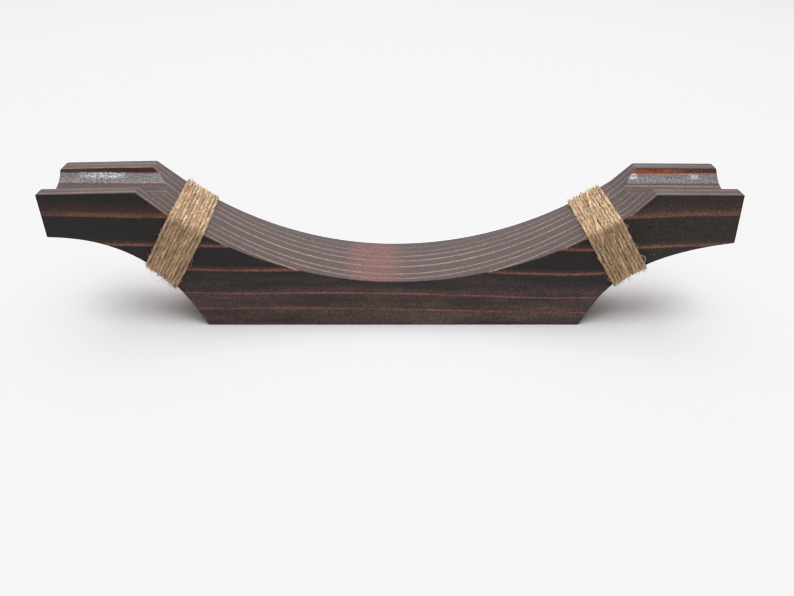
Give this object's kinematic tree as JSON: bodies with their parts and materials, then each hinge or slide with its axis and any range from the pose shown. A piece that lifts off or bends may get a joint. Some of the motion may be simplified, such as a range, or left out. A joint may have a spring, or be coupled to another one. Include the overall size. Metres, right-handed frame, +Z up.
{
  "type": "wooden cradle stand",
  "caption": "Low one-piece wooden cradle stand with an open arch and a cove along each raised wing, bound with jute twine round both arms.",
  "frame": {"origin": "middle of the foot's underside, on the surface that the stand rests on", "axes": "+X along the stand's length, -Y out of the front face, +Z up"},
  "size_m": [0.2914, 0.0412, 0.0632],
  "materials": {
    "stained_wood": "dark stained softwood, satin varnish",
    "jute_twine": "twisted jute, matt and hairy"
  },
  "bodies": {
    "root": {"stand_body": "stained_wood", "left_binding": "jute_twine", "right_binding": "jute_twine"}
  },
  "joints": []
}
